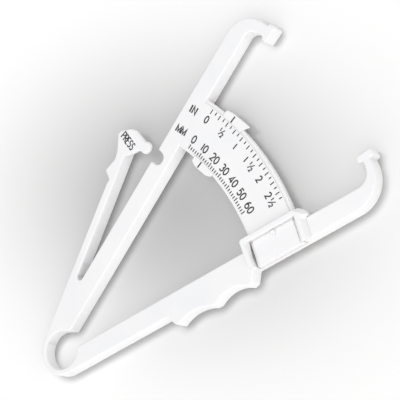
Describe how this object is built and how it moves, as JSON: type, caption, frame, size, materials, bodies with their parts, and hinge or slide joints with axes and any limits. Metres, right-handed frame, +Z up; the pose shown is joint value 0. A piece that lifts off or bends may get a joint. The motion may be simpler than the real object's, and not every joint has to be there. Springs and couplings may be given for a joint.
{
  "type": "skinfold caliper",
  "caption": "Sprung plastic skinfold caliper: two arms on a hinge loop, jaw pads, curved scale plate with sliding cursor, and a press lever that clicks into a notch.",
  "frame": {"origin": "middle of the caliper's footprint, on the flat it rests on, with the jaws fully open", "axes": "+X from the hinge loop towards the jaws along the bisector of the open arms, +Z up out of the printed face, +Y towards the arm that carries the press lever and the scale plate"},
  "size_m": [0.1638, 0.1026, 0.0082],
  "materials": {
    "white_plastic": "satin moulded white plastic",
    "black_print": "black pad print"
  },
  "bodies": {
    "upper_arm": {"upper_arm": "white_plastic", "upper_jaw": "white_plastic", "hinge_loop": "white_plastic", "lever_flexure": "white_plastic", "scale_plate": "white_plastic", "scale_stop": "white_plastic", "mm_graduations": "black_print", "inch_graduations": "black_print"},
    "press_lever": {"press_lever": "white_plastic"},
    "lower_arm": {"lower_arm": "white_plastic", "lower_jaw": "white_plastic", "guide_frame": "white_plastic"},
    "cursor": {"cursor": "white_plastic", "index_marks": "black_print"}
  },
  "joints": [
    {"name": "arm_hinge", "type": "hinge", "parent": "upper_arm", "child": "lower_arm", "pos_m": [-0.07552, -0.004, 0.0031], "axis": [0, 0, 1], "range_deg": [0, 24.1], "stiffness_Nm_per_rad": 0.8, "deforming": ["hinge_loop"]},
    {"name": "press_lever_flex", "type": "hinge", "parent": "upper_arm", "child": "press_lever", "pos_m": [-0.04642, 0.01992, 0.0031], "axis": [0, 0, 1], "range_deg": [-8.1, 0], "stiffness_Nm_per_rad": 2.2, "deforming": ["lever_flexure"]},
    {"name": "cursor_slide", "type": "hinge", "parent": "upper_arm", "child": "cursor", "pos_m": [-0.07552, -0.004, 0.0031], "axis": [0, 0, 1], "range_deg": [0, 4.98]}
  ],
  "couplings": [
    {"joint": "cursor_slide", "follows": "arm_hinge", "ratio": 0.206}
  ]
}
